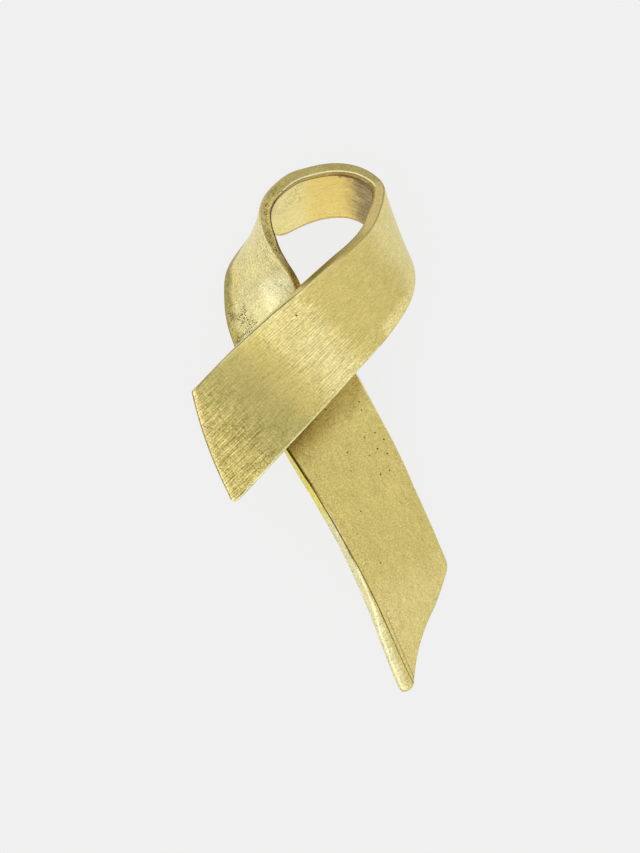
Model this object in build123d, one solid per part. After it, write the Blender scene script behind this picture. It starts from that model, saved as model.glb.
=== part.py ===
from build123d import *
import os
from collections import namedtuple
from math import cos, radians, sin

# Ribbon brooch, millimetres. X to the wearer's left, Y up, Z from the back to the face.
# It lies on its back: the loop's outer edge and the clasp's two feet stand on Z = 0.

# The ribbon.
BROOCH_HEIGHT = 50.0  # top of the loop to the tip of the tail
RIBBON_WIDTH = 10.2
RIBBON_THICKNESS = 1.3
ARRIS = 0.2  # bevel of the long edges
FRONT_TIP_RADIUS = 0.6  # outer corner of the front limb's end
TAIL_TIP_RADIUS = 0.6
FRONT_CUT_RUN = 5.25  # how far the front end's cut runs along the limb
FRONT_CUT_SWELL = 0.45  # outward bow of the front end's cut
TAIL_CUT_RUN = 10.0  # how far the tail's cut runs along the tail
TAIL_HEEL_SWELL = 0.45  # bow that rounds the tail's inner corner
TAIL_CUT_SWELL = 0.5  # hollow further along that cut

# The tools that cut the ends.
CUT_MARGIN = 0.6  # metal past the outer corner before cutting
CUT_CLEAR = 1.6  # reach of a cut past the metal's edge
CUT_BACK = 4.8  # reach of a cut's outline back over the metal that stays
CUT_FLARE = 0.8  # the same outline draws off the edges by this
CUT_HALF_DEPTH = 1.95  # half the cut's height through the metal
EDGE_GRAZE = 0.02  # a cut's corner lies this far off the edge

# The clasp.
PLATE_LENGTH = 16.0
PLATE_WIDTH = 3.0
PLATE_THICKNESS = 0.8
SEAT_GAP = 0.12  # between the plate and the ribbon's lowest point over it
HINGE_LENGTH = 2.8
CATCH_LENGTH = 2.4
FOOT_WIDTH = 3.6
FOOT_ROUNDING = 0.5
STEM_DIAMETER = 0.9
STEM_OVERHANG = 1.2  # point of the stem past the catch
POINT_LENGTH = 3.0
POINT_DIAMETER = 0.3
CATCH_CLEARANCE = 0.3  # air round the stem inside the catch
CLASP_BEARING = -62.0  # degrees, along the hidden limb
CLASP_X_SHARE = -0.020  # middle of the plate, shares of the brooch's height
CLASP_Y_SHARE = 0.062
STEM_LEVEL_SHARE = 0.38  # stem's axis, share of the clasp's height

# Sections from the front limb's end, round the loop, to the tail's end.
# x, y: the middle of the section, shares of the brooch's height.
# lift: its height, share of the ribbon's width.
# bearing, dip: where the width points in plan, and how far it rises, degrees.
Section = namedtuple("Section", "x y lift bearing dip")
SECTIONS = [
    Section(-0.2465, -0.0895, 0.860, -44, -3),
    Section(-0.166, -0.003, 0.850, -44, -3),
    Section(-0.110, 0.058, 0.848, -44, -8),
    Section(-0.046, 0.123, 0.865, -45, -17),
    Section(0.018, 0.188, 0.900, -46, -26),
    Section(0.083, 0.255, 0.920, -46, -35),
    Section(0.1305, 0.325, 0.825, -54, -48),
    Section(0.1345, 0.366, 0.702, -64, -52),
    Section(0.122, 0.4005, 0.575, -75, -58),
    Section(0.102, 0.4215, 0.500, -82, -63),
    Section(0.067, 0.441, 0.445, -87, -66),
    Section(0.022, 0.4455, 0.425, -88, -66),
    Section(-0.028, 0.434, 0.430, -91, -64.5),
    Section(-0.0745, 0.411, 0.470, -97, -63),
    Section(-0.102, 0.394, 0.518, -97, -74),
    Section(-0.1155, 0.3605, 0.564, -131, -77),
    Section(-0.1226, 0.317, 0.582, -157, -64),
    Section(-0.1137, 0.276, 0.567, -161, -52),
    Section(-0.100, 0.233, 0.535, -160, -41),
    Section(-0.069, 0.161, 0.490, -158, -22),
    Section(-0.037, 0.092, 0.467, -155, -5),
    Section(0.000, 0.020, 0.455, -155, 10),
    Section(0.044, -0.050, 0.498, -157, 24),
    Section(0.088, -0.131, 0.610, -158, 32),
    Section(0.127, -0.211, 0.712, -157, 36),
    Section(0.163, -0.295, 0.775, -156, 38),
    Section(0.197, -0.385, 0.815, -155, 39),
    Section(0.2415, -0.4965, 0.835, -155, 40),
]

# Bows of the two end cuts. start, end: shares of the cut from its inner corner.
Wave = namedtuple("Wave", "start end swell")
FRONT_CUT = [Wave(-0.1, 0.89, FRONT_CUT_SWELL)]
TAIL_CUT = [
    Wave(-0.1, 0.4, TAIL_HEEL_SWELL),
    Wave(0.4, 0.89, -TAIL_CUT_SWELL),
]


def centre(row):
    """Middle of a section."""
    return Vector(
        row.x * BROOCH_HEIGHT, row.y * BROOCH_HEIGHT, row.lift * RIBBON_WIDTH
    )


def width_direction(row):
    """Unit vector from the ribbon's rim to its outer edge."""
    bearing, dip = radians(row.bearing), radians(row.dip)
    return Vector(cos(dip) * cos(bearing), cos(dip) * sin(bearing), sin(dip))


def section_plane(index):
    """Plane square across the ribbon at one row of the table."""
    before = SECTIONS[max(index - 1, 0)]
    after = SECTIONS[min(index + 1, len(SECTIONS) - 1)]
    across = width_direction(SECTIONS[index])
    run = centre(after) - centre(before)
    along = (run - across * run.dot(across)).normalized()
    return Plane(origin=centre(SECTIONS[index]), x_dir=across, z_dir=along)


def section_corners():
    """Corners of the bevelled section, rim side first, as (across, through)."""
    half, thick = RIBBON_WIDTH / 2, RIBBON_THICKNESS / 2
    return [
        (-half, thick - ARRIS),
        (-half + ARRIS, thick),
        (half - ARRIS, thick),
        (half, thick - ARRIS),
        (half, -thick + ARRIS),
        (half - ARRIS, -thick),
        (-half + ARRIS, -thick),
        (-half, -thick + ARRIS),
    ]


def ribbon_band():
    """The whole band, longer than needed at both ends."""
    planes = [section_plane(i) for i in range(len(SECTIONS))]
    steps = [centre(b) - centre(a) for a, b in zip(SECTIONS, SECTIONS[1:])]
    length = sum(step.length for step in steps)
    shares = [0.0]
    for step in steps:
        shares.append(shares[-1] + step.length / length)
    shares[-1] = 1.0
    arrises = [
        Edge.make_spline(
            [plane.from_local_coords(Vector(*corner)) for plane in planes],
            parameters=shares,
        )
        for corner in section_corners()
    ]
    walls = [
        Face.make_surface_from_curves(one, other)
        for one, other in zip(arrises, arrises[1:] + arrises[:1])
    ]
    ends = [
        plane * make_face(Polyline(*section_corners(), close=True))
        for plane in (planes[0], planes[-1])
    ]
    return Solid(Shell(walls + [end.face() for end in ends]))


def end_plane(index, outward):
    """Plane in the ribbon's face at an end: X out along it, Y to the outer edge."""
    square = section_plane(index)
    along = square.z_dir * outward
    return Plane(
        origin=square.origin, x_dir=along, z_dir=along.cross(square.x_dir)
    )


def end_cut(run, corner_radius, waves):
    """Waste past a slanting end, drawn flat: the outer corner runs furthest."""
    half = RIBBON_WIDTH / 2
    corner = Vector(-CUT_MARGIN, half + EDGE_GRAZE)
    heel = Vector(-CUT_MARGIN - run, -half)
    span = corner - heel
    out = Vector(span.Y, -span.X).normalized()

    def point(share, swell=0.0):
        return heel + span * share + out * swell

    sweep = Curve()
    for wave in waves:
        middle = point((wave.start + wave.end) / 2, wave.swell)
        sweep += ThreePointArc(point(wave.start), middle, point(wave.end))
    start = point(waves[0].start)
    deep = start.X - CUT_BACK
    sweep += Polyline(
        point(waves[-1].end),
        corner,
        (deep, half + CUT_FLARE),
        (deep, -half - CUT_FLARE),
        start,
    )
    kept = make_face(sweep.edges())
    kept = fillet(kept.vertices().sort_by_distance(corner)[0], corner_radius)
    waste = Polyline(
        (corner.X - CUT_CLEAR, half + CUT_CLEAR),
        (CUT_CLEAR, half + CUT_CLEAR),
        (CUT_CLEAR, start.Y),
        start,
        close=True,
    )
    return extrude(make_face(waste) - kept, CUT_HALF_DEPTH, both=True)


def build_ribbon():
    """The band with both ends cut, on the floor with its plan centred."""
    ribbon = ribbon_band()
    front = end_cut(FRONT_CUT_RUN, FRONT_TIP_RADIUS, FRONT_CUT)
    tail = end_cut(TAIL_CUT_RUN, TAIL_TIP_RADIUS, TAIL_CUT)
    ribbon -= end_plane(0, -1) * front
    ribbon -= end_plane(len(SECTIONS) - 1, 1) * tail
    box = ribbon.bounding_box()
    return Pos(-box.center().X, -box.center().Y, -box.min.Z) * ribbon


def clasp_height(ribbon):
    """Height of the plate's upper face, just clear of the hidden limb."""
    column = extrude(Rectangle(PLATE_LENGTH, PLATE_WIDTH), BROOCH_HEIGHT)
    over_plate = ribbon & (clasp_place() * column)
    return over_plate.bounding_box().min.Z - SEAT_GAP


def clasp_place():
    """Middle of the plate on the floor, X toward the catch."""
    x, y = CLASP_X_SHARE * BROOCH_HEIGHT, CLASP_Y_SHARE * BROOCH_HEIGHT
    return Pos(x, y, 0) * Rot(0, 0, CLASP_BEARING)


def build_clasp(height):
    """Plate, hinge foot, stem and catch foot in one piece."""
    underside = height - PLATE_THICKNESS
    level = height * STEM_LEVEL_SHARE
    hinge_x = (HINGE_LENGTH - PLATE_LENGTH) / 2
    catch_x = (PLATE_LENGTH - CATCH_LENGTH) / 2
    plate = Pos(0, 0, underside) * extrude(
        RectangleRounded(PLATE_LENGTH, PLATE_WIDTH, FOOT_ROUNDING),
        PLATE_THICKNESS,
    )
    hinge = Pos(hinge_x, 0, 0) * extrude(
        RectangleRounded(HINGE_LENGTH, FOOT_WIDTH, FOOT_ROUNDING),
        underside + PLATE_THICKNESS / 2,
    )
    catch = Pos(catch_x, 0, 0) * extrude(
        RectangleRounded(CATCH_LENGTH, FOOT_WIDTH, FOOT_ROUNDING),
        underside + PLATE_THICKNESS / 2,
    )
    along = Pos(catch_x, 0, level) * Rot(0, 90, 0)
    bore = along * Cylinder(STEM_DIAMETER / 2 + CATCH_CLEARANCE, PLATE_LENGTH / 2)
    mouth = Pos(catch_x, -FOOT_WIDTH / 2, level) * Box(
        PLATE_LENGTH / 2, FOOT_WIDTH, STEM_DIAMETER + CATCH_CLEARANCE
    )
    catch -= bore
    catch -= mouth
    end_x = PLATE_LENGTH / 2 + STEM_OVERHANG
    shank = end_x - POINT_LENGTH - hinge_x
    stem = Pos(hinge_x + shank / 2, 0, level) * Rot(0, 90, 0) * Cylinder(
        STEM_DIAMETER / 2, shank
    )
    point = Pos(end_x - POINT_LENGTH / 2, 0, level) * Rot(0, 90, 0) * Cone(
        STEM_DIAMETER / 2, POINT_DIAMETER / 2, POINT_LENGTH
    )
    return clasp_place() * (plate + hinge + catch + stem + point)


def main():
    """Build both pieces and write one file for each."""
    os.makedirs("parts", exist_ok=True)
    ribbon = build_ribbon()
    clasp = build_clasp(clasp_height(ribbon))
    for name, piece in (("ribbon", ribbon), ("pin_clasp", clasp)):
        export_step(piece, f"parts/{name}.step")


main()
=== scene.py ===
"""Ribbon brooch: its looks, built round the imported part, in metres and in the part's frame."""

import logging
import math
from collections.abc import Iterator
from dataclasses import dataclass, field
from enum import Enum
from typing import Any, NamedTuple, Union

import bmesh
import bpy
import numpy as np
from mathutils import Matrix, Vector, noise


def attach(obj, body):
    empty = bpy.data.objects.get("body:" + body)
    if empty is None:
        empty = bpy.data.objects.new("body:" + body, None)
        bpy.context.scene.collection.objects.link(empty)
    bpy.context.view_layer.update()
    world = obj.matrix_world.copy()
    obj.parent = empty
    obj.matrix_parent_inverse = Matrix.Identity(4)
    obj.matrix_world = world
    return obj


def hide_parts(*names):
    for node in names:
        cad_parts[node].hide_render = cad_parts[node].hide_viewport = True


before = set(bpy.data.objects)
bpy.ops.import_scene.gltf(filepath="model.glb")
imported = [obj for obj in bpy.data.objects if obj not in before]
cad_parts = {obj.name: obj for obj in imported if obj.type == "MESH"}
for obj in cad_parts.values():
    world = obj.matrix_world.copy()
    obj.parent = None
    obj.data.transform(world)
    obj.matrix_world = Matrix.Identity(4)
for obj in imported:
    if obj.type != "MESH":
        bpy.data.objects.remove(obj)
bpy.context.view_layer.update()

MM = 0.001
MARK_HEIGHT = 0.02 * MM
LOG = logging.getLogger("brooch")

Socket = bpy.types.NodeSocket
Shape = bmesh.types.BMesh
Number = Union[float, "Signal"]
Colour = tuple[float, float, float, float]


class Side(Enum):
    """Which way a thing faces on the flat band."""

    FACE = 1
    BACK = -1


class Section(NamedTuple):
    """One station of the band: shares of the brooch's height and the band's width, and degrees."""

    x: float
    y: float
    lift: float
    bearing: float
    dip: float


class Bow(NamedTuple):
    """A swell of an end's cut, between two shares of the cut from its heel."""

    start: float
    end: float
    swell: float


# From the front limb's end, round the loop, to the tail's end. x and y are the middle of the
# band as shares of the height, lift is its height as a share of the width, and bearing and dip
# say where the width points from the rim: round in plan, and how far it rises.
SECTIONS = (
    Section(-0.2465, -0.0895, 0.860, -44, -3),
    Section(-0.166, -0.003, 0.850, -44, -3),
    Section(-0.110, 0.058, 0.848, -44, -8),
    Section(-0.046, 0.123, 0.865, -45, -17),
    Section(0.018, 0.188, 0.900, -46, -26),
    Section(0.083, 0.255, 0.920, -46, -35),
    Section(0.1305, 0.325, 0.825, -54, -48),
    Section(0.1345, 0.366, 0.702, -64, -52),
    Section(0.122, 0.4005, 0.575, -75, -58),
    Section(0.102, 0.4215, 0.500, -82, -63),
    Section(0.067, 0.441, 0.445, -87, -66),
    Section(0.022, 0.4455, 0.425, -88, -66),
    Section(-0.028, 0.434, 0.430, -91, -64.5),
    Section(-0.0745, 0.411, 0.470, -97, -63),
    Section(-0.102, 0.394, 0.518, -97, -74),
    Section(-0.1155, 0.3605, 0.564, -131, -77),
    Section(-0.1226, 0.317, 0.582, -157, -64),
    Section(-0.1137, 0.276, 0.567, -161, -52),
    Section(-0.100, 0.233, 0.535, -160, -41),
    Section(-0.069, 0.161, 0.490, -158, -22),
    Section(-0.037, 0.092, 0.467, -155, -5),
    Section(0.000, 0.020, 0.455, -155, 10),
    Section(0.044, -0.050, 0.498, -157, 24),
    Section(0.088, -0.131, 0.610, -158, 32),
    Section(0.127, -0.211, 0.712, -157, 36),
    Section(0.163, -0.295, 0.775, -156, 38),
    Section(0.197, -0.385, 0.815, -155, 39),
    Section(0.2415, -0.4965, 0.835, -155, 40),
)


def srgb(red: int, green: int, blue: int) -> Colour:
    """Linear colour of a screen colour given in 0 to 255."""
    shares = (channel / 255 for channel in (red, green, blue))
    linear = (s / 12.92 if s <= 0.04045 else ((s + 0.055) / 1.055) ** 2.4 for s in shares)
    return (*linear, 1.0)


class Signal:
    """A number that varies over a surface: its operators add Math nodes."""

    def __init__(self, graph: "Graph", socket: Socket) -> None:
        """Wrap an output socket of a node.

        Args:
            graph: the node tree that the socket belongs to.
            socket: the output socket.
        """
        self.graph = graph
        self.socket = socket

    def __add__(self, other: Number) -> "Signal":
        """Sum."""
        return self.graph.math("ADD", self, other)

    __radd__ = __add__

    def __sub__(self, other: Number) -> "Signal":
        """Difference."""
        return self.graph.math("SUBTRACT", self, other)

    def __rsub__(self, other: Number) -> "Signal":
        """Difference from a plain number."""
        return self.graph.math("SUBTRACT", other, self)

    def __mul__(self, other: Number) -> "Signal":
        """Product."""
        return self.graph.math("MULTIPLY", self, other)

    __rmul__ = __mul__

    def __abs__(self) -> "Signal":
        """Size without its sign."""
        return self.graph.math("ABSOLUTE", self)

    def rise(self, low: float, high: float) -> "Signal":
        """Smooth step: 0 at low and 1 at high, or falling where low is the greater.

        Args:
            low: the value where the step is 0.
            high: the value where it is 1.

        Returns:
            The step.
        """
        if low > high:
            return 1.0 - self.rise(high, low)
        step = self.graph.node(
            "ShaderNodeMapRange",
            {"interpolation_type": "SMOOTHSTEP"},
            {"Value": self, "From Min": low, "From Max": high},
        )
        return Signal(self.graph, step.outputs[0])

    def window(self, low: float, high: float, soft: float) -> "Signal":
        """1 between low and high, fading to 0 over a soft margin outside them.

        Args:
            low: start of the window.
            high: its end.
            soft: width of each fade.

        Returns:
            The window.
        """
        return self.rise(low - soft, low) * self.rise(high + soft, high)


class Graph:
    """A node tree, filled by one method for any node and a few for those used most."""

    def __init__(self, tree: bpy.types.NodeTree) -> None:
        """Empty the tree and keep it.

        Args:
            tree: the node tree of a material or a world.
        """
        self.tree = tree
        tree.nodes.clear()

    def node(
        self,
        kind: str,
        settings: dict[str, Any] | None = None,
        values: dict[str | int, Any] | None = None,
    ) -> bpy.types.Node:
        """Add a node.

        Args:
            kind: the node's type.
            settings: its properties, set first.
            values: the values or links of its inputs, by name or number.

        Returns:
            The node.
        """
        made = self.tree.nodes.new(kind)
        for name, value in (settings or {}).items():
            setattr(made, name, value)
        for key, value in (values or {}).items():
            target = made.inputs[key]
            if isinstance(value, Signal):
                self.tree.links.new(value.socket, target)
            elif isinstance(value, Socket):
                self.tree.links.new(value, target)
            else:
                target.default_value = value
        return made

    def math(self, operation: str, *terms: Number) -> Signal:
        """Result of a Math node on these terms."""
        made = self.node("ShaderNodeMath", {"operation": operation}, dict(enumerate(terms)))
        return Signal(self, made.outputs[0])

    def attribute(self, name: str) -> Socket:
        """Vector that the mesh carries under this name."""
        return self.node("ShaderNodeAttribute", {"attribute_name": name}).outputs["Vector"]

    def part_place(self) -> Socket:
        """The place in the part's frame, in millimetres."""
        metres = self.node("ShaderNodeTexCoord").outputs["Object"]
        scale = {0: metres, "Scale": 1 / MM}
        return self.node("ShaderNodeVectorMath", {"operation": "SCALE"}, scale).outputs[0]

    def axes(self, vector: Socket) -> tuple[Signal, Signal, Signal]:
        """The three numbers of a vector."""
        split = self.node("ShaderNodeSeparateXYZ", values={0: vector})
        return tuple(Signal(self, output) for output in split.outputs)

    def turned(
        self, vector: Socket, degrees: float, stretch: tuple[float, float, float]
    ) -> Socket:
        """A vector turned about Z and then stretched.

        Args:
            vector: the place.
            degrees: the direction in plan that becomes X.
            stretch: factors along the turned X, Y and Z.

        Returns:
            The new vector.
        """
        turn = self.node(
            "ShaderNodeVectorRotate",
            {"rotation_type": "Z_AXIS"},
            {"Vector": vector, "Angle": -math.radians(degrees)},
        )
        scale = self.node(
            "ShaderNodeVectorMath", {"operation": "MULTIPLY"}, {0: turn.outputs[0], 1: stretch}
        )
        return scale.outputs[0]

    def noise(
        self, vector: Socket, scale: float, detail: float = 2.0, rough: float = 0.5
    ) -> Signal:
        """Cloudy noise about 0.5.

        Args:
            vector: the place.
            scale: waves for each unit of the place.
            detail: octaves.
            rough: how much each octave keeps.

        Returns:
            The noise.
        """
        made = self.node(
            "ShaderNodeTexNoise",
            {"noise_dimensions": "3D"},
            {"Vector": vector, "Scale": scale, "Detail": detail, "Roughness": rough},
        )
        return Signal(self, made.outputs["Fac"])

    def bands(self, vector: Socket, period: float, wander: float) -> Signal:
        """Uneven stripes that lie along X and follow one another along Y, about 0.

        Args:
            vector: the place.
            period: distance from stripe to stripe.
            wander: how far the stripes stray, in turns of the wave.

        Returns:
            The stripes, from -0.5 to 0.5.
        """
        made = self.node(
            "ShaderNodeTexWave",
            {"wave_type": "BANDS", "bands_direction": "Y"},
            {
                "Vector": vector,
                "Scale": math.pi / 10 / period,
                "Distortion": wander * math.tau,
                "Detail": 2.0,
                "Detail Scale": 1.5,
            },
        )
        return Signal(self, made.outputs["Fac"]) - 0.5

    def specks(self, vector: Socket, scale: float, size: float) -> Signal:
        """Small round spots, 1 at each middle and 0 past its edge.

        Args:
            vector: the place.
            scale: cells for each unit of the place.
            size: radius of a spot as a share of a cell.

        Returns:
            The spots.
        """
        made = self.node(
            "ShaderNodeTexVoronoi",
            {"voronoi_dimensions": "3D", "feature": "F1"},
            {"Vector": vector, "Scale": scale},
        )
        return Signal(self, made.outputs["Distance"]).rise(size, size * 0.35)

    def blend(self, amount: Number, first: Socket | Colour, second: Socket | Colour) -> Socket:
        """Colour between two.

        Args:
            amount: 0 for the first and 1 for the second.
            first: a colour.
            second: a colour.

        Returns:
            The mixed colour.
        """
        made = self.node(
            "ShaderNodeMix", {"data_type": "RGBA"}, {0: amount, 6: first, 7: second}
        )
        return made.outputs[2]

    def lit(self, colour: Socket, level: Signal, pale: float = 0.0) -> Socket:
        """Colour times a number, whose change also adds or takes a little grey.

        Args:
            colour: the colour.
            level: the number, about 1.
            pale: how much grey a change of 1 adds.

        Returns:
            The colour, lighter or darker.
        """
        made = self.node(
            "ShaderNodeVectorMath", {"operation": "SCALE"}, {0: colour, "Scale": level}
        )
        grey = ((level - 1.0) * pale).socket
        total = self.node(
            "ShaderNodeVectorMath", {"operation": "ADD"}, {0: made.outputs[0], 1: grey}
        )
        return total.outputs[0]

    def brass(
        self, colour: Socket, roughness: Signal, height: Signal, strength: float
    ) -> None:
        """Finish a material's tree as bare metal.

        Args:
            colour: its colour.
            roughness: its roughness.
            height: how high its fine marks stand.
            strength: how much of that height shows.
        """
        bump = {"Strength": strength, "Distance": MARK_HEIGHT, "Height": height}
        shader = self.node(
            "ShaderNodeBsdfPrincipled",
            values={
                "Base Color": colour,
                "Metallic": 1.0,
                "Roughness": roughness,
                "Normal": self.node("ShaderNodeBump", values=bump).outputs[0],
            },
        )
        self.node("ShaderNodeOutputMaterial", values={"Surface": shader.outputs[0]})


def bevel(
    shape: Shape,
    edges: list[bmesh.types.BMEdge],
    offset: float,
    steps: int,
    clamped: bool = False,
) -> None:
    """Round edges of a shape.

    Args:
        shape: the shape.
        edges: its edges to round.
        offset: how far the round reaches from the edge.
        steps: faces across the round.
        clamped: whether rounds stop where they would meet.
    """
    bmesh.ops.bevel(
        shape,
        geom=edges,
        offset=offset,
        offset_type="OFFSET",
        segments=steps,
        profile=0.5,
        affect="EDGES",
        material=-1,
        clamp_overlap=clamped,
    )


def stand(name: str, shape: Shape) -> bpy.types.Object:
    """Put an object made of a shape into the scene.

    Args:
        name: its name and its mesh's.
        shape: the shape, which is used up.

    Returns:
        The object.
    """
    mesh = bpy.data.meshes.new(name)
    shape.to_mesh(mesh)
    shape.free()
    piece = bpy.data.objects.new(name, mesh)
    bpy.context.scene.collection.objects.link(piece)
    return piece


class Bend:
    """How the flat band is bent: one smooth run through the sections."""

    def __init__(self, sections: tuple[Section, ...], height: float, width: float) -> None:
        """Work out the band's middle line and its two directions at each section.

        Args:
            sections: the stations, from the front limb's end to the tail's.
            height: the brooch's height.
            width: the band's width.
        """
        rows = np.array(sections)
        bearing, dip = np.radians(rows[:, 3]), np.radians(rows[:, 4])
        middle = rows[:, :3] * (height, height, width)
        rimward = -np.stack(
            (np.cos(dip) * np.cos(bearing), np.cos(dip) * np.sin(bearing), np.sin(dip)), 1
        )
        last = len(rows) - 1
        run = np.array([middle[min(i + 1, last)] - middle[max(i - 1, 0)] for i in range(last + 1)])
        run -= rimward * (run * rimward).sum(1, keepdims=True)
        run /= np.linalg.norm(run, axis=1, keepdims=True)
        steps = np.linalg.norm(np.diff(middle, axis=0), axis=1)
        self.stations = np.concatenate(((0.0,), np.cumsum(steps)))
        self.rows = np.hstack((middle, rimward, np.cross(run, rimward)))
        self.curvature = self._curvature()

    @property
    def length(self) -> float:
        """Length of the middle line."""
        return float(self.stations[-1])

    def _curvature(self) -> np.ndarray:
        """Second derivatives of the cubic run at the sections, none at its ends."""
        steps = np.diff(self.stations)
        count = len(self.stations)
        system = np.eye(count)
        target = np.zeros_like(self.rows)
        slopes = np.diff(self.rows, axis=0) / steps[:, None]
        for i in range(1, count - 1):
            system[i, i - 1 : i + 2] = steps[i - 1], 2 * (steps[i - 1] + steps[i]), steps[i]
            target[i] = 6 * (slopes[i] - slopes[i - 1])
        return np.linalg.solve(system, target)

    def place(self, flat: np.ndarray) -> np.ndarray:
        """Bend flat places.

        Args:
            flat: a row for each place: along the band, toward the rim, toward the face.

        Returns:
            A row for each place in the part's frame, before the whole is set down.
        """
        along = flat[:, 0]
        index = np.clip(np.searchsorted(self.stations, along) - 1, 0, len(self.stations) - 2)
        step = (self.stations[index + 1] - self.stations[index])[:, None]
        after = (along - self.stations[index])[:, None]
        before = step - after
        bent = (
            self.rows[index] * before / step
            + self.rows[index + 1] * after / step
            + self.curvature[index] * (before**3 / step - before * step) / 6
            + self.curvature[index + 1] * (after**3 / step - after * step) / 6
        )
        return bent[:, :3] + flat[:, 1:2] * bent[:, 3:6] + flat[:, 2:3] * bent[:, 6:9]


@dataclass(frozen=True)
class EndCut:
    """A slanting end: its outer corner runs furthest, its heel is at the rim side."""

    margin: float
    run: float
    tip_radius: float
    heel_radius: float
    bows: tuple[Bow, ...]
    fade: float = 2.5 * MM

    @staticmethod
    def outward_from(heel: Vector, tip: Vector) -> Vector:
        """Unit vector square to the cut, out of the metal."""
        out = Vector((heel.y - tip.y, tip.x - heel.x, 0.0)).normalized()
        return out if out.x * (tip.x - heel.x) > 0 else -out

    def corner(self, length: float, half: float, outward: int) -> tuple[Vector, Vector]:
        """Both ends of the cut on the flat band.

        Args:
            length: length of the uncut band.
            half: half the band's width.
            outward: 1 for the tail's end, -1 for the front limb's.

        Returns:
            The heel and the outer corner.
        """
        end = length if outward > 0 else 0.0
        heel = Vector((end - outward * (self.margin + self.run), half, 0.0))
        tip = Vector((end - outward * self.margin, -half, 0.0))
        return heel, tip

    def bowed(self, place: Vector, heel: Vector, tip: Vector) -> Vector:
        """Move of a place near the cut that gives the cut its bows.

        Args:
            place: a place on the flat band.
            heel: the cut's inner end.
            tip: its outer end.

        Returns:
            The move.
        """
        span = tip - heel
        out = self.outward_from(heel, tip)
        offset = place - heel
        share = offset.dot(span) / span.length_squared
        inward = -offset.dot(out)
        reach = max(0.0, 1.0 - max(0.0, inward) / self.fade) ** 2
        swell = 0.0
        for bow in self.bows:
            across = (2 * share - bow.start - bow.end) / (bow.end - bow.start)
            if abs(across) < 1:
                swell += bow.swell * (1 - across**2)
        return out * (swell * reach)


@dataclass(frozen=True)
class Stretch:
    """A stretch along the band that something is done to, fading out at both ends."""

    start: float
    end: float
    fade: float
    depth: float
    rimward: int = 0
    faceward: int = 0

    def depth_at(self, along: float) -> float:
        """Depth of the work at a place along the band."""
        inside = min(along - self.start, self.end - along) / self.fade
        share = max(0.0, min(1.0, inside + 1.0))
        return self.depth * share * share * (3 - 2 * share)


@dataclass(frozen=True)
class Filing(Stretch):
    """A long edge filed flat on the slant."""

    def filed(self, place: Vector, half: float, deep: float) -> Vector:
        """Move of a place that lies outside the filed flat.

        Args:
            place: a place on the flat band.
            half: half the band's width.
            deep: half its thickness.

        Returns:
            The move.
        """
        edge = half + deep - self.depth_at(place.x)
        over = place.y * self.rimward + place.z * self.faceward - edge
        if over <= 0:
            return Vector()
        return Vector((0.0, -self.rimward * over / 2, -self.faceward * over / 2))


@dataclass(frozen=True)
class Easing(Stretch):
    """A side of the band drawn in toward its middle, or only the part of it near one edge."""

    near: int = 0

    def eased(self, place: Vector, half: float, deep: float) -> Vector:
        """Move of a place on the side that is drawn in.

        Args:
            place: a place on the flat band.
            half: half the band's width.
            deep: half its thickness.

        Returns:
            The move.
        """
        out = place.y * self.rimward / half + place.z * self.faceward / deep
        if self.near:
            out *= max(0.0, place.y * self.near / half) ** 2
        move = self.depth_at(place.x) * max(0.0, out)
        return Vector((0.0, -self.rimward * move, -self.faceward * move))


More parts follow.
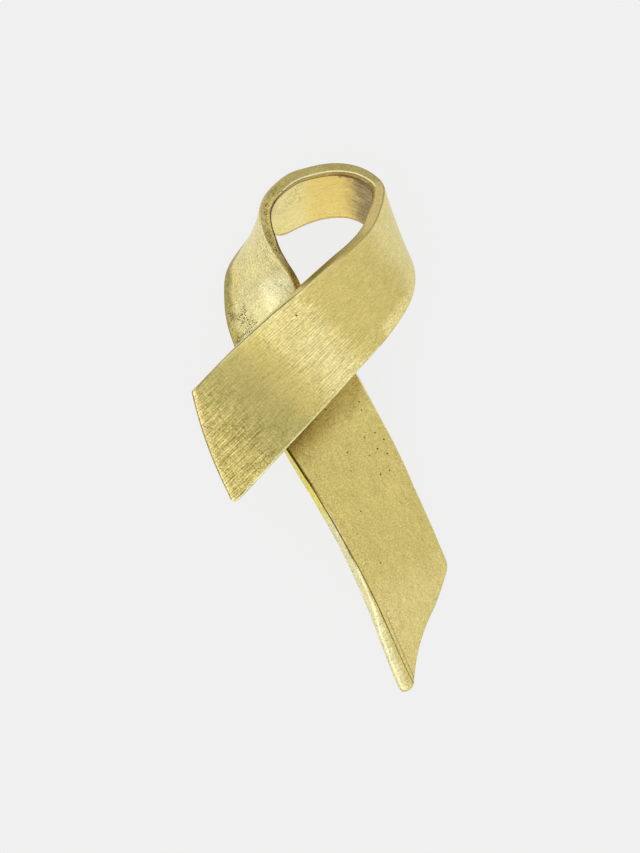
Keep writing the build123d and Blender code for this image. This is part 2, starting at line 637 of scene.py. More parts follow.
@dataclass
class Ribbon:
    """The band: a flat plate with slanting ends, rounded, worked by hand and bent."""

    height: float = 50.0 * MM
    width: float = 10.2 * MM
    thickness: float = 1.3 * MM
    arris: float = 0.24 * MM
    arris_steps: int = 4
    tip_steps: int = 5
    step_along: float = 0.25 * MM
    step_across: float = 0.24 * MM
    step_through: float = 0.2 * MM
    snap: float = 0.004 * MM
    dent: float = 0.05 * MM
    dent_spans: tuple[float, float] = (7.0, 5.0)
    small_dent: float = 0.35
    small_dent_spans: tuple[float, float] = (2.3, 2.1)
    waver: float = 0.06 * MM
    waver_span: float = 4.5
    ripple: float = 0.3
    ripple_span: float = 1.3
    front: EndCut = EndCut(
        margin=0.66 * MM,
        run=5.25 * MM,
        tip_radius=0.6 * MM,
        heel_radius=0.25 * MM,
        bows=(Bow(-0.1, 0.89, 0.42 * MM),),
    )
    tail: EndCut = EndCut(
        margin=0.95 * MM,
        run=9.9 * MM,
        tip_radius=0.6 * MM,
        heel_radius=1.4 * MM,
        bows=(Bow(-0.1, 0.33, 0.2 * MM), Bow(0.33, 0.89, -0.46 * MM)),
    )
    filings: tuple[Filing, ...] = (
        Filing(-5.0 * MM, 18.0 * MM, 3.0 * MM, 0.5 * MM, rimward=1, faceward=-1),
        Filing(21.0 * MM, 28.0 * MM, 2.5 * MM, 0.22 * MM, rimward=1, faceward=-1),
        Filing(50.0 * MM, 60.0 * MM, 3.0 * MM, 0.4 * MM, rimward=1, faceward=-1),
        Filing(87.5 * MM, 99.0 * MM, 4.5 * MM, 0.62 * MM, rimward=-1, faceward=1),
    )
    easings: tuple[Easing, ...] = (
        Easing(14.0 * MM, 25.5 * MM, 3.0 * MM, 0.14 * MM, faceward=-1),
        Easing(34.5 * MM, 41.0 * MM, 3.0 * MM, 0.12 * MM, faceward=1),
        Easing(43.0 * MM, 45.5 * MM, 2.5 * MM, 0.45 * MM, rimward=-1),
        Easing(54.5 * MM, 60.0 * MM, 5.5 * MM, 0.62 * MM, faceward=-1, near=1),
        Easing(55.0 * MM, 60.0 * MM, 3.0 * MM, 0.4 * MM, rimward=1),
        Easing(58.0 * MM, 66.5 * MM, 5.0 * MM, 0.4 * MM, rimward=-1),
        Easing(64.0 * MM, 89.0 * MM, 3.0 * MM, 0.14 * MM, rimward=1),
    )
    loop_share: float = 0.2
    shape: Shape = field(init=False)
    bend: Bend = field(init=False)
    shift: np.ndarray = field(init=False)

    def __post_init__(self) -> None:
        """Work out the bend from the sizes."""
        self.bend = Bend(SECTIONS, self.height, self.width)

    def build(self) -> bpy.types.Object:
        """Make the band and set it where the part's ribbon is.

        Returns:
            The finished piece, without a material.
        """
        self.cut_plate()
        self.round_tips()
        self.round_arrises()
        self.slice_finely()
        self.note_places()
        self.bow_ends()
        self.set_down()
        self.work_by_hand()
        piece = stand("ribbon_band", self.shape)
        self.bend_mesh(piece.data)
        piece.data.shade_smooth()
        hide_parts("ribbon")
        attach(piece, "root")
        return piece

    def ends(self) -> Iterator[tuple[EndCut, int, Vector, Vector]]:
        """Each end's cut, its way along the band, its heel and its outer corner."""
        for cut, outward in ((self.front, -1), (self.tail, 1)):
            yield cut, outward, *cut.corner(self.bend.length, self.width / 2, outward)

    def cut_plate(self) -> None:
        """Plate of the band's size: X along it, Y toward the rim, Z toward the face."""
        self.shape = bmesh.new()
        bmesh.ops.create_cube(self.shape, size=1.0)
        size = (self.bend.length, self.width, self.thickness)
        bmesh.ops.scale(self.shape, vec=size, verts=self.shape.verts)
        bmesh.ops.translate(self.shape, vec=(self.bend.length / 2, 0, 0), verts=self.shape.verts)
        for cut, _, heel, tip in self.ends():
            everything = self.shape.verts[:] + self.shape.edges[:] + self.shape.faces[:]
            bmesh.ops.bisect_plane(
                self.shape,
                geom=everything,
                dist=self.snap,
                plane_co=heel,
                plane_no=cut.outward_from(heel, tip),
                clear_outer=True,
            )
            rim = [edge for edge in self.shape.edges if edge.is_boundary]
            bmesh.ops.holes_fill(self.shape, edges=rim, sides=0)

    def round_tips(self) -> None:
        """Round the corners of both ends in plan."""
        for cut, outward, heel, tip in self.ends():
            for corner, radius in ((tip, cut.tip_radius), (heel, cut.heel_radius)):
                upright = [
                    edge
                    for edge in self.shape.edges
                    if all((v.co.xy - corner.xy).length < self.snap * 4 for v in edge.verts)
                ]
                sharp = (heel - tip).angle(Vector((-outward, 0, 0)))
                turn = sharp if corner is tip else math.pi - sharp
                bevel(self.shape, upright, radius / math.tan(turn / 2), self.tip_steps)

    def round_arrises(self) -> None:
        """Round the edges of the face and of the back."""
        self.shape.normal_update()
        outline = [
            edge
            for edge in self.shape.edges
            if sorted(abs(face.normal.z) > 0.5 for face in edge.link_faces) == [False, True]
        ]
        bevel(self.shape, outline, self.arris, self.arris_steps)

    def slice_finely(self) -> None:
        """Cut the plate's faces into small ones that can bend and be dented."""
        inner = self.width / 2 - self.arris
        depth = self.thickness / 2 - self.arris
        runs = (
            (Vector((0, 0, 1)), -depth, depth, self.step_through),
            (Vector((0, 1, 0)), -inner, inner, self.step_across),
            (Vector((1, 0, 0)), 0.0, self.bend.length, self.step_along),
        )
        for axis, low, high, step in runs:
            count = max(2, round((high - low) / step))
            for i in range(1, count):
                place = axis * (low + (high - low) * i / count)
                everything = self.shape.verts[:] + self.shape.edges[:] + self.shape.faces[:]
                bmesh.ops.bisect_plane(
                    self.shape, geom=everything, dist=self.snap, plane_co=place, plane_no=axis
                )

    def note_places(self) -> None:
        """Keep each vertex's flat place and how far it is from the nearer slanting end."""
        flat = self.shape.verts.layers.float_vector.new("flat")
        from_cut = self.shape.verts.layers.float_vector.new("from_cut")
        ends = [(heel, cut.outward_from(heel, tip)) for cut, _, heel, tip in self.ends()]
        for vertex in self.shape.verts:
            vertex[flat] = vertex.co / MM
            inward = min((heel - vertex.co).dot(out) for heel, out in ends)
            vertex[from_cut] = Vector((inward / MM, 0.0, 0.0))

    def bow_ends(self) -> None:
        """Give both ends their bowed cuts."""
        for cut, outward, heel, tip in self.ends():
            near = cut.margin + cut.run + 2 * cut.fade
            for vertex in self.shape.verts:
                from_end = vertex.co.x if outward < 0 else self.bend.length - vertex.co.x
                if from_end < near:
                    vertex.co += cut.bowed(vertex.co, heel, tip)

    def work_by_hand(self) -> None:
        """Leave the shallow dents and the wavering edges of hand work."""
        half, deep = self.width / 2, self.thickness / 2
        for vertex in self.shape.verts:
            place = vertex.co / MM
            side = Side.FACE if place.z > 0 else Side.BACK
            seed = Vector((0, 0, 11.0 * side.value))
            broad_x, broad_y = self.dent_spans
            small_x, small_y = self.small_dent_spans
            broad = noise.noise(Vector((place.x / broad_x, place.y / broad_y, 0)) + seed)
            small = noise.noise(Vector((place.x / small_x, place.y / small_y, 3.7)) + seed)
            for filing in self.filings:
                vertex.co += filing.filed(vertex.co, half, deep)
            for easing in self.easings:
                vertex.co += easing.eased(vertex.co, half, deep)
            edge = 1.0 if place.y > 0 else -1.0
            wander = noise.noise(Vector((place.x / self.waver_span, 5.0 * edge, 7.3)))
            ripple = noise.noise(Vector((place.x / self.ripple_span, 5.0 * edge, 1.9)))
            outer = abs(vertex.co.y / half) ** 3 * edge
            vertex.co.z += self.dent * (broad + self.small_dent * small) * vertex.co.z / deep
            vertex.co.y += self.waver * (wander + self.ripple * ripple) * outer

    def set_down(self) -> None:
        """Find the move that sets the bent band down where the part's ribbon is."""
        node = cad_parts["ribbon"]
        part = np.array([node.matrix_world @ vertex.co for vertex in node.data.vertices])
        bent = self.bend.place(np.array([vertex.co for vertex in self.shape.verts]))
        loops = [places[places[:, 1] > self.loop_share * self.height] for places in (part, bent)]
        marks = []
        for loop, places in zip(loops, (part, bent)):
            middle = (loop[:, 0].min() + loop[:, 0].max()) / 2
            marks.append(np.array((middle, loop[:, 1].max(), places[:, 2].min())))
        self.shift = marks[0] - marks[1]

    def bend_mesh(self, mesh: bpy.types.Mesh) -> None:
        """Bend the flat mesh and set it down.

        Args:
            mesh: the flat band.
        """
        places = np.zeros(len(mesh.vertices) * 3, np.float32)
        mesh.vertices.foreach_get("co", places)
        bent = self.bend.place(places.reshape(-1, 3).astype(float)) + self.shift
        mesh.vertices.foreach_set("co", bent.astype(np.float32).ravel())
        mesh.update()


@dataclass
class Clasp:
    """The pin clasp: the part's own shape with its edges softened."""

    merge: float = 0.001 * MM
    flatness: float = math.radians(1.0)
    crease: float = math.radians(35.0)
    softening: float = 0.1 * MM
    steps: int = 3

    def build(self) -> bpy.types.Object:
        """Make the clasp from a merged copy of the part's.

        Returns:
            The finished piece, without a material.
        """
        shape = bmesh.new()
        shape.from_mesh(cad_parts["pin_clasp"].data)
        bmesh.ops.remove_doubles(shape, verts=shape.verts, dist=self.merge)
        bmesh.ops.dissolve_limit(
            shape, angle_limit=self.flatness, verts=shape.verts, edges=shape.edges
        )
        sharp = [
            edge
            for edge in shape.edges
            if len(edge.link_faces) == 2 and edge.calc_face_angle() > self.crease
        ]
        bevel(shape, sharp, self.softening, self.steps, clamped=True)
        piece = stand("clasp", shape)
        piece.data.shade_smooth()
        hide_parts("pin_clasp")
        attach(piece, "root")
        return piece


class Surface(Enum):
    """The four long surfaces of the band."""

    FACE = "face"
    BACK = "back"
    RIM = "rim"
    OUTER = "outer"


class Tone(Enum):
    """Colours of the brass; some of them are painted highlights, painted reflections and painted
    shade.
    """

    GOLD = srgb(207, 190, 117)
    OLIVE = srgb(186, 173, 106)
    PALE_GOLD = srgb(228, 214, 146)
    PALE = srgb(214, 204, 148)
    CREAM = srgb(243, 236, 188)
    STRAW = srgb(238, 223, 156)
    DULL = srgb(168, 158, 106)
    # Painted shade: the darker outer edge of the left limb.
    EDGE_SHADE = srgb(168, 154, 88)
    AMBER = srgb(222, 198, 112)
    # Painted reflection: the two inner tones are brightened to stand in for light reflected into
    # the loop.
    INNER = srgb(254, 225, 126)
    INNER_PALE = srgb(255, 237, 158)
    INNER_EDGE = srgb(208, 166, 86)
    UMBER = srgb(150, 122, 62)
    HOLLOW = srgb(166, 142, 78)
    ASH = srgb(168, 147, 104)
    RIM = srgb(171, 158, 99)
    RIM_LIGHT = srgb(200, 182, 120)
    RIM_MID = srgb(184, 169, 108)
    RIM_DARK = srgb(177, 161, 99)
    # Painted shadow: the darker tone of the tail where the front limb shades it at the crossing.
    CROSSING_SHADE = srgb(175, 152, 78)
    BROWN = srgb(118, 94, 44)
    BLACK_BROWN = srgb(80, 60, 14)
    SPECK = srgb(88, 76, 34)
    # Painted reflection: the pale tones of the tail's outer wall, where it reflects the bright
    # floor.
    WALL = srgb(228, 221, 170)
    WALL_YELLOW = srgb(231, 217, 108)


class Patch(NamedTuple):
    """A soft-edged stretch of one surface in another tone: millimetres on the flat band."""

    surface: Surface
    start: float
    end: float
    low: float
    high: float
    soft: float
    tone: Tone
    share: float = 1.0
    ragged: float = 0.4
    lean: float = 0.0


class Line(NamedTuple):
    """A thin line beside an arris; its offsets run from the wall, below 0, onto the flat."""

    rimward: int
    faceward: int
    start: float
    end: float
    offset: float
    end_offset: float
    width: float
    tone: Tone
    share: float = 1.0
    fade: float = 1.5


class Pit(NamedTuple):
    """A small dark pit of the face."""

    along: float
    rimward: float
    radius: float


class Speckle(NamedTuple):
    """A stretch where small dark specks crowd."""

    surface: Surface
    start: float
    end: float
    low: float
    high: float
    soft: float
    share: float
    lean: float = 0.0


# Tones of the surfaces, from broad to small. Across is toward the rim on the face and the back,
# and toward the face on the rim and the outer wall.
PATCHES = (
    Patch(Surface.FACE, 7.5, 10.0, -6.0, 6.0, 3.3, Tone.OLIVE),
    # Painted highlight: a pale band across the front limb, with a cream core.
    Patch(Surface.FACE, 15.6, 18.0, -6.0, 6.0, 2.6, Tone.PALE_GOLD, 0.8),
    Patch(Surface.FACE, 16.4, 17.6, -4.6, 0.5, 1.6, Tone.CREAM, 0.15),
    Patch(Surface.FACE, 28.5, 33.0, -6.0, 6.0, 2.5, Tone.PALE_GOLD),
    Patch(Surface.FACE, 23.0, 31.0, -6.0, -4.4, 1.2, Tone.PALE_GOLD),
    # Painted highlight: the left limb's face in pale, straw and cream where it catches the light.
    Patch(Surface.FACE, 45.0, 61.0, -6.0, 6.0, 3.0, Tone.PALE),
    Patch(Surface.FACE, 45.0, 50.5, -6.0, 6.0, 2.0, Tone.STRAW, 0.8),
    Patch(Surface.FACE, 52.6, 54.6, 0.8, 4.4, 1.0, Tone.CREAM, 0.6),
    Patch(Surface.FACE, 50.2, 52.4, -3.8, -2.6, 1.0, Tone.AMBER, 0.4, 0.8),
    # Painted shade along the left limb's outer edge.
    Patch(Surface.FACE, 47.5, 57.0, -6.0, -4.3, 1.0, Tone.EDGE_SHADE, 1.0),
    Patch(Surface.FACE, 54.0, 56.4, -4.2, -2.4, 1.2, Tone.DULL, 0.4, 0.8),
    # Painted shadow of the front limb on the tail, along the edge where they cross.
    Patch(Surface.FACE, 60.0, 66.0, -1.5, 6.0, 3.0, Tone.CROSSING_SHADE, 0.95, 0.4, 0.43),
    # Painted light: a paler patch that lightens the shade beside the crossing.
    Patch(Surface.FACE, 58.0, 61.5, -6.0, -2.5, 1.6, Tone.PALE_GOLD, 0.6, 0.4, 0.43),
    Patch(Surface.FACE, 86.0, 99.0, -6.0, 6.0, 5.0, Tone.PALE_GOLD, 0.45),
    # Painted reflection: the inner face of the loop lightened to stand in for light reflected onto
    # it.
    Patch(Surface.BACK, 30.0, 50.0, -6.0, 6.0, 2.5, Tone.INNER),
    Patch(Surface.BACK, 42.5, 49.0, -6.0, 6.0, 2.0, Tone.INNER_PALE, 0.95),
    Patch(Surface.BACK, 30.0, 35.0, -6.0, 6.0, 3.2, Tone.HOLLOW, 1.0, 0.6),
    Patch(Surface.BACK, 33.0, 34.2, -3.5, 3.5, 0.8, Tone.ASH, 0.55, 1.2),
    Patch(Surface.BACK, 31.5, 38.0, 4.5, 6.0, 0.4, Tone.BROWN, 0.8, 0.6),
    # The rim's olive-brown tones are partly tarnish and partly painted shade.
    Patch(Surface.RIM, -1.0, 99.0, -1.0, 1.0, 1.0, Tone.RIM),
    Patch(Surface.RIM, 40.5, 49.0, -1.0, 1.0, 2.0, Tone.RIM_MID, 0.65),
    Patch(Surface.RIM, 28.0, 32.5, -1.0, 1.0, 1.8, Tone.RIM_LIGHT),
    Patch(Surface.RIM, 19.0, 25.5, -1.0, 1.0, 1.8, Tone.RIM_DARK),
    Patch(Surface.RIM, 53.0, 60.0, -1.0, 1.0, 2.0, Tone.RIM_LIGHT),
    Patch(Surface.RIM, 64.0, 99.0, -1.0, 1.0, 2.0, Tone.GOLD),
    # Painted reflection: the tail's outer wall made pale where it reflects the bright floor.
    Patch(Surface.OUTER, 60.0, 99.0, -1.0, 1.0, 2.0, Tone.WALL),
    Patch(Surface.OUTER, 60.0, 73.0, -1.0, 1.0, 4.0, Tone.WALL_YELLOW),
)
# The cream and straw lines along the arrises are partly wear and partly painted highlight.
LINES = (
    Line(1, -1, 31.5, 37.5, -0.04, -0.04, 0.28, Tone.UMBER, 0.85, 2.5),
    Line(1, -1, 37.5, 43.0, 0.08, 0.08, 0.14, Tone.UMBER, 0.3, 2.5),
    Line(1, -1, 33.5, 47.0, -0.42, -0.08, 0.07, Tone.CREAM, 0.85, 1.0),
    Line(1, 1, 9.5, 19.0, -0.65, -0.6, 0.36, Tone.STRAW, 0.8, 2.5),
    Line(1, -1, 36.0, 48.0, 0.36, 0.3, 0.1, Tone.BROWN, 0.9),
    Line(1, -1, 45.5, 54.5, -0.33, -0.3, 0.14, Tone.AMBER, 0.6),
    Line(1, -1, 45.5, 59.0, 0.0, 0.0, 0.16, Tone.BLACK_BROWN, 0.9),
    Line(1, -1, 11.5, 21.0, -0.1, -0.1, 0.12, Tone.BROWN, 0.9),
    Line(1, 1, 12.0, 18.0, -0.2, -0.2, 0.07, Tone.BROWN, 0.9),
    Line(1, 1, 10.0, 23.0, 0.05, 0.05, 0.08, Tone.CREAM, 0.45),
    Line(1, 1, 43.0, 50.0, 0.0, 0.0, 0.1, Tone.CREAM, 0.3),
    Line(1, 1, 27.5, 33.0, -0.05, -0.05, 0.08, Tone.BROWN, 0.5),
    Line(1, 1, 64.0, 84.0, 0.0, 0.0, 0.12, Tone.CREAM, 0.8),
    Line(-1, -1, 36.0, 46.0, 0.3, 0.3, 0.3, Tone.INNER_EDGE, 0.7),
    Line(-1, -1, 34.0, 48.0, 0.1, 0.1, 0.1, Tone.BROWN, 0.6),
    Line(-1, 1, 1.0, 21.0, 0.05, 0.05, 0.14, Tone.CREAM, 0.8),
    Line(-1, 1, 60.0, 71.0, 0.0, 0.02, 0.18, Tone.BLACK_BROWN, 0.95, 4.0),
    Line(-1, 1, 69.0, 79.0, -0.05, -0.1, 0.11, Tone.BLACK_BROWN, 0.9, 3.0),
    Line(-1, 1, 78.0, 86.5, -0.1, 0.5, 0.07, Tone.BROWN, 0.9),
    Line(-1, 1, 86.5, 93.0, 0.5, 0.95, 0.07, Tone.BROWN, 0.75),
    Line(-1, 1, 86.5, 92.5, 0.98, 1.35, 0.08, Tone.BROWN, 0.4),
)
PITS = (
    Pit(17.7, 3.5, 0.11),
    Pit(65.7, 0.7, 0.09),
    Pit(66.2, -0.7, 0.08),
    Pit(66.4, 3.9, 0.08),
    Pit(67.2, 3.7, 0.07),
    Pit(69.7, 3.7, 0.08),
    Pit(69.7, 2.5, 0.07),
    Pit(70.6, 4.2, 0.09),
    Pit(71.2, 3.1, 0.1),
    Pit(70.4, 0.1, 0.08),
    Pit(71.5, 2.0, 0.07),
    Pit(72.0, 3.8, 0.09),
    Pit(73.6, 3.2, 0.08),
    Pit(73.6, 2.1, 0.09),
    Pit(72.2, -0.6, 0.07),
    Pit(76.2, -1.8, 0.08),
    Pit(81.4, -2.4, 0.08),
)
SPECKLES = (
    Speckle(Surface.FACE, 0.5, 4.5, 1.0, 4.5, 1.5, 0.5),
    Speckle(Surface.FACE, 53.8, 56.8, -4.2, -1.9, 0.8, 1.9),
    Speckle(Surface.FACE, 49.0, 53.5, 2.6, 4.4, 0.8, 0.5),
    Speckle(Surface.FACE, 61.0, 67.6, -5.0, 5.0, 1.8, 0.5, 0.43),
    Speckle(Surface.FACE, 69.5, 73.5, 0.0, 4.5, 1.2, 0.25),
    Speckle(Surface.BACK, 42.5, 47.0, 0.8, 4.6, 1.2, 0.6),
    Speckle(Surface.BACK, 31.0, 36.0, -4.0, 5.0, 1.0, 0.7),
    Speckle(Surface.RIM, 44.5, 50.5, -0.45, 0.2, 0.25, 1.0),
    Speckle(Surface.RIM, 31.5, 34.5, -0.5, 0.5, 0.4, 0.3),
)


class Strength(NamedTuple):
    """How strongly a mark shows on the whole band, and how much more on some stretches."""

    whole: Number
    end: Number = 0.0
    belt: Number = 0.0
    limb: Number = 0.0
    limb_rim: Number = 0.0
    upper: Number = 0.0
    tail: Number = 0.0
    outer: Number = 0.0
    hollow: Number = 0.0


# Of hatching, crossed hatching, stipple, clouds, scores, veins and lengthwise scratches.
STRENGTHS = (
    Strength(0.4, end=1.1, belt=0.5, limb=0.5, tail=0.2),
    Strength(0.2, end=0.5, belt=0.35, limb_rim=0.5),
    Strength(0.45, end=0.7, upper=0.25, tail=0.1, outer=0.4),
    Strength(0.12),
    Strength(0.0, end=0.45, belt=0.35, limb=0.2),
    Strength(0.3, hollow=1.5),
    Strength(0.0, upper=0.35),
)


@dataclass(frozen=True)
class RibbonBrass:
    """Satin brass of the band: brushed, olive in places, pale with painted highlights and along
    worn edges, and darkened with painted shade.
    """

    half_width: float = 5.1
    half_thickness: float = 0.65
    brush_bearing: float = 45.0
    grain: float = 7.5
    stipple: float = 6.5
    cloud: float = 0.5
    score_spacing: float = 0.24
    greying: float = 0.1
    strip_share: float = 0.5
    front_share: float = 0.6
    waist_share: float = 0.75
    roughness: float = 0.4
    unevenness: float = 0.2
    relief: float = 0.35

    def material(self) -> bpy.types.Material:
        """Build the finish.

        Returns:
            The material.
        """
        made = bpy.data.materials.new("ribbon_brass")
        made.use_nodes = True
        graph = Graph(made.node_tree)
        band = BandPlace(graph, self.half_width, self.half_thickness)
        colour = Tone.GOLD.value
        for patch in PATCHES:
            colour = graph.blend(band.patch(patch), colour, patch.tone.value)
        for line in LINES:
            colour = graph.blend(band.line(line), colour, line.tone.value)
        colour = self.edge_of_cuts(band, colour)
        level, height = self.brushing(band)
        colour = graph.lit(colour, level, self.greying)
        dark = band.pits() + band.specks()
        colour = graph.blend(dark.rise(0.0, 1.0), colour, Tone.SPECK.value)
        roughness = self.roughness + self.unevenness * (height - 0.5)
        graph.brass(colour, roughness, height - dark, self.relief)
        return made

    def edge_of_cuts(self, band: "BandPlace", colour: Socket) -> Socket:
        """A pale strip beside the front cut, partly wear and partly painted highlight, and a dark
        line along parts of both.

        Args:
            band: the place on the flat band.
            colour: the colour so far.

        Returns:
            The colour with both.
        """
        graph = band.graph
        inset, _, _ = graph.axes(graph.attribute("from_cut"))
        front = band.along.rise(20.0, 15.0)
        waist = band.along.rise(80.0, 84.0) * band.rimward.window(-3.6, 0.8, 1.0)
        strip = inset.window(0.1, 0.35, 0.1) * front * self.strip_share
        colour = graph.blend(strip, colour, Tone.STRAW.value)
        line = self.front_share * front + self.waist_share * waist
        return graph.blend(inset.rise(0.14, 0.04) * line, colour, Tone.BROWN.value)

    def brushing(self, band: "BandPlace") -> tuple[Signal, Signal]:
        """Scratches, crossed scratches and stipple, each stronger on some stretches.

        Args:
            band: the place on the flat band.

        Returns:
            The factor on the colour and the height for the bump.
        """
        graph, place = band.graph, band.place
        fine = (0.6, self.grain, self.grain)
        along = graph.turned(place, self.brush_bearing, fine)
        crossing = graph.turned(place, self.brush_bearing - 90.0, fine)
        hatch = graph.noise(along, 1.0, 2.0, 0.6) - 0.5
        cross = graph.noise(crossing, 1.0, 1.0, 0.6) - 0.5
        stipple = graph.noise(place, self.stipple, 1.0, 0.6) - 0.5
        cloud = graph.noise(place, self.cloud, 3.0, 0.55) - 0.5
        slow = graph.turned(place, self.brush_bearing - 2.0, (0.05, 1.0, 1.0))
        worked = graph.noise(graph.turned(place, self.brush_bearing, (0.7, 3.0, 3.0)), 1.0)
        scores = graph.bands(slow, self.score_spacing, 1.0) * worked.rise(0.35, 0.65)
        veins = graph.noise(graph.turned(band.flat, 0.0, (1.0, 2.2, 1.0)), 1.0, 3.0, 0.7) - 0.5
        lengthwise = graph.noise(graph.turned(band.flat, 0.0, (0.6, 4.6, 1.0)), 1.0, 1.0) - 0.5

        limb = band.along.window(47.0, 61.0, 3.0)
        stretches = Strength(
            1.0,
            end=band.along.window(-1.0, 5.0, 5.0),
            belt=band.along.window(15.0, 19.0, 3.0),
            limb=limb,
            limb_rim=limb * band.rimward.rise(0.5, 3.5),
            upper=band.along.window(44.0, 50.0, 3.0),
            tail=band.along.rise(60.0, 66.0),
            outer=band.rimward.rise(-2.5, -4.2),
            hollow=band.masks[Surface.BACK] * band.along.rise(38.5, 34.5),
        )
        marks = (hatch, cross, stipple, cloud, scores, veins, lengthwise)
        level = 1.0
        for mark, strength in zip(marks, STRENGTHS):
            level = level + mark * sum(
                share * stretch for share, stretch in zip(strength, stretches) if share
            )
        return level, 0.5 + hatch + 0.5 * stipple


class BandPlace:
    """Where a shaded point lies on the flat band, and the marks that are set out there."""

    def __init__(self, graph: Graph, half_width: float, half_thickness: float) -> None:
        """Read the flat place and mask the four surfaces.

        Args:
            graph: the material's nodes.
            half_width: half the band's width, in millimetres.
            half_thickness: half its thickness.
        """
        self.graph = graph
        self.place = graph.part_place()
        self.flat = graph.attribute("flat")
        self.along, self.rimward, self.faceward = graph.axes(self.flat)
        cloudy = graph.node("ShaderNodeTexNoise", values={"Vector": self.place, "Scale": 0.9})
        self.wander = graph.axes(cloudy.outputs["Color"])
        self.arris_line = half_width - half_thickness
        wall = (half_width - 0.2, half_width - 0.05)
        flat = (half_thickness - 0.3, half_thickness - 0.1)
        self.masks = {
            Surface.FACE: self.faceward.rise(*flat),
            Surface.BACK: (self.faceward * -1.0).rise(*flat),
            Surface.RIM: self.rimward.rise(*wall),
            Surface.OUTER: (self.rimward * -1.0).rise(*wall),
        }

    def across(self, surface: Surface) -> Signal:
        """The place across a surface."""
        flats = (Surface.FACE, Surface.BACK)
        return self.rimward if surface in flats else self.faceward

    def region(self, mark: Patch | Speckle, ragged: float) -> Signal:
        """Mask of a patch or of a speckled stretch.

        Args:
            mark: the patch or stretch.
            ragged: how far its outline wanders.

        Returns:
            The mask.
        """
        across = self.across(mark.surface)
        along = self.along + mark.lean * across if mark.lean else self.along
        along = along + 4.0 * ragged * (self.wander[0] - 0.5)
        if ragged and mark.surface in (Surface.FACE, Surface.BACK):
            across = across + 4.0 * ragged * (self.wander[1] - 0.5)
        inside = along.window(mark.start, mark.end, mark.soft)
        return self.masks[mark.surface] * inside * across.window(mark.low, mark.high, mark.soft)

    def patch(self, patch: Patch) -> Signal:
        """How much of a patch's tone shows."""
        return self.region(patch, patch.ragged) * patch.share

    def line(self, line: Line) -> Signal:
        """How much of a line's tone shows.

        Args:
            line: the line.

        Returns:
            The mask.
        """
        slope = (line.end_offset - line.offset) / (line.end - line.start)
        from_arris = self.arris_line - line.rimward * self.rimward + line.faceward * self.faceward
        off = abs(from_arris - line.offset - slope * (self.along - line.start))
        near = (line.faceward * self.faceward).rise(-0.35, -0.2)
        inside = self.along.window(line.start, line.end, line.fade)
        return near * inside * off.rise(line.width * 1.5, line.width * 0.5) * line.share

    def pits(self) -> Signal:
        """The single pits of the face."""
        found = self.masks[Surface.FACE] * 0.0
        for pit in PITS:
            off = self.graph.node(
                "ShaderNodeVectorMath",
                {"operation": "DISTANCE"},
                {0: self.flat, 1: (pit.along, pit.rimward, 0.65)},
            ).outputs["Value"]
            found = found + Signal(self.graph, off).rise(pit.radius * 1.3, pit.radius * 0.6)
        return found

    def specks(self) -> Signal:
        """Small specks, thick in some stretches."""
        dots = self.graph.specks(self.place, 5.3, 0.42) + self.graph.specks(self.place, 7.4, 0.44)
        crowd = self.masks[Surface.FACE] * 0.0
        for speckle in SPECKLES:
            crowd = crowd + self.region(speckle, 0.5) * speckle.share
        return dots * crowd * self.wander[2].rise(0.4, 0.55)


@dataclass(frozen=True)
class ClaspBrass:
    """Plain satin brass of the clasp."""

    gold: Colour = srgb(196, 178, 108)
    dull: Colour = srgb(170, 152, 88)
    bearing: float = -62.0
    contrast: float = 0.5
    roughness: float = 0.38
    unevenness: float = 0.2
    relief: float = 0.3

    def material(self) -> bpy.types.Material:
        """Build the finish.

        Returns:
            The material.
        """
        made = bpy.data.materials.new("clasp_brass")
        made.use_nodes = True
        graph = Graph(made.node_tree)
        place = graph.part_place()
        fine = graph.noise(graph.turned(place, self.bearing, (0.5, 6.0, 6.0)), 1.0, 3.0, 0.6)
        cloud = graph.noise(place, 0.8, 3.0, 0.55)
        colour = graph.blend(cloud.rise(0.5, 0.75), self.gold, self.dull)
        colour = graph.lit(colour, 1.0 + self.contrast * (fine - 0.5))
        roughness = self.roughness + self.unevenness * (fine - 0.5)
        graph.brass(colour, roughness, fine, self.relief)
        return made


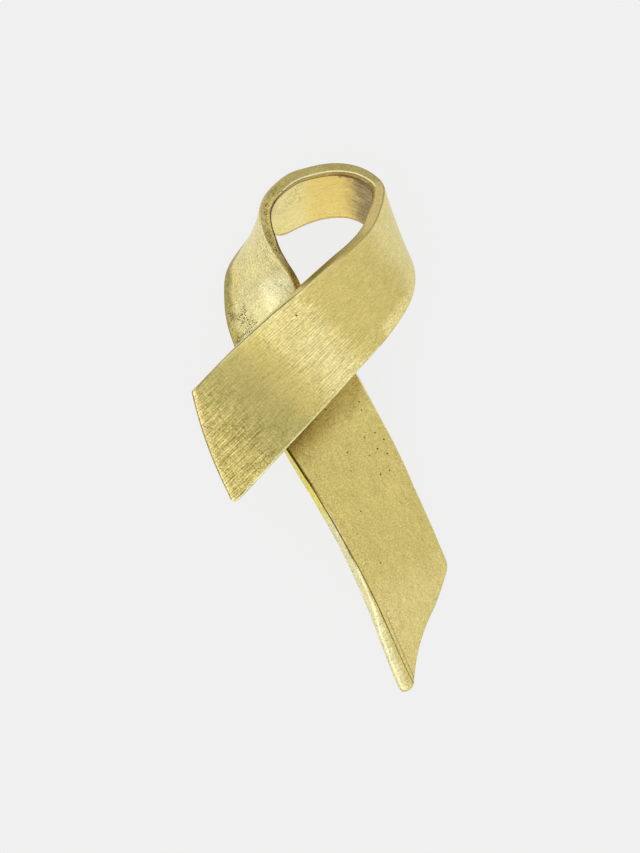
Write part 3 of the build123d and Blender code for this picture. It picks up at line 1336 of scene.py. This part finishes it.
@dataclass
class Studio:
    """Pale floor, soft light from all round, and a camera straight above."""

    floor_size: float = 2.0
    floor_grey: Colour = srgb(240, 240, 240)
    lens: float = 900.0
    sensor: float = 36.0
    millimetres_a_pixel: float = 50.0 / 529
    picture_height: int = 853
    aim: tuple[float, float] = (0.0, 0.0)
    key_way: tuple[float, float, float] = (-0.75, -0.6, 0.25)
    key_gain: float = 0.5
    overhead_loss: float = 0.1

    def build(self) -> None:
        """Set up everything that isn't part of the brooch."""
        self.lay_floor()
        self.light()
        self.aim_camera()
        bpy.context.scene.view_settings.view_transform = "Standard"

    def lay_floor(self) -> None:
        """Lay a pale floor that the brooch lies on."""
        shape = bmesh.new()
        bmesh.ops.create_grid(shape, x_segments=1, y_segments=1, size=self.floor_size / 2)
        floor = stand("floor", shape)
        made = bpy.data.materials.new("floor_white")
        made.use_nodes = True
        graph = Graph(made.node_tree)
        matt = graph.node("ShaderNodeBsdfDiffuse", values={"Color": self.floor_grey})
        glow = graph.node("ShaderNodeEmission", values={"Color": self.floor_grey})
        both = graph.node(
            "ShaderNodeMixShader", values={0: 0.95, 1: matt.outputs[0], 2: glow.outputs[0]}
        )
        graph.node("ShaderNodeOutputMaterial", values={"Surface": both.outputs[0]})
        floor.data.materials.append(made)

    def light(self) -> None:
        """Light from all round, a little less from straight above, and more from the lower left."""
        world = bpy.data.worlds.new("tent")
        bpy.context.scene.world = world
        world.use_nodes = True
        graph = Graph(world.node_tree)
        way = graph.node("ShaderNodeTexCoord").outputs["Generated"]
        _, _, up = graph.axes(way)
        overhead = up.rise(0.75, 1.0)
        key = Vector(self.key_way).normalized()
        toward_key = Signal(
            graph,
            graph.node(
                "ShaderNodeVectorMath", {"operation": "DOT_PRODUCT"}, {0: way, 1: key}
            ).outputs["Value"],
        )
        level = 1.0 - self.overhead_loss * overhead + self.key_gain * toward_key.rise(0.4, 0.9)
        sky = graph.node("ShaderNodeBackground", values={"Color": (1, 1, 1, 1), "Strength": level})
        graph.node("ShaderNodeOutputWorld", values={"Surface": sky.outputs[0]})

    def aim_camera(self) -> None:
        """Hang the camera where the photograph was taken from, straight above."""
        data = bpy.data.cameras.new("camera")
        data.lens = self.lens
        data.sensor_width = self.sensor
        covered = self.picture_height * self.millimetres_a_pixel * MM
        distance = covered * self.lens / self.sensor
        data.clip_start, data.clip_end = distance / 100, distance * 10
        camera = bpy.data.objects.new("camera", data)
        bpy.context.scene.collection.objects.link(camera)
        camera.location = (*self.aim, distance)
        bpy.context.scene.camera = camera


def main() -> None:
    """Build the brooch and the studio."""
    logging.basicConfig(level=logging.INFO, format="%(name)s: %(message)s")
    band = Ribbon()
    ribbon = band.build()
    ribbon.data.materials.append(RibbonBrass().material())
    LOG.info("%s has %d faces", ribbon.name, len(ribbon.data.polygons))
    clasp = Clasp().build()
    clasp.data.materials.append(ClaspBrass().material())
    LOG.info("%s has %d faces", clasp.name, len(clasp.data.polygons))
    Studio(aim=(band.shift[0], band.shift[1])).build()


if __name__ == "__main__":
    main()
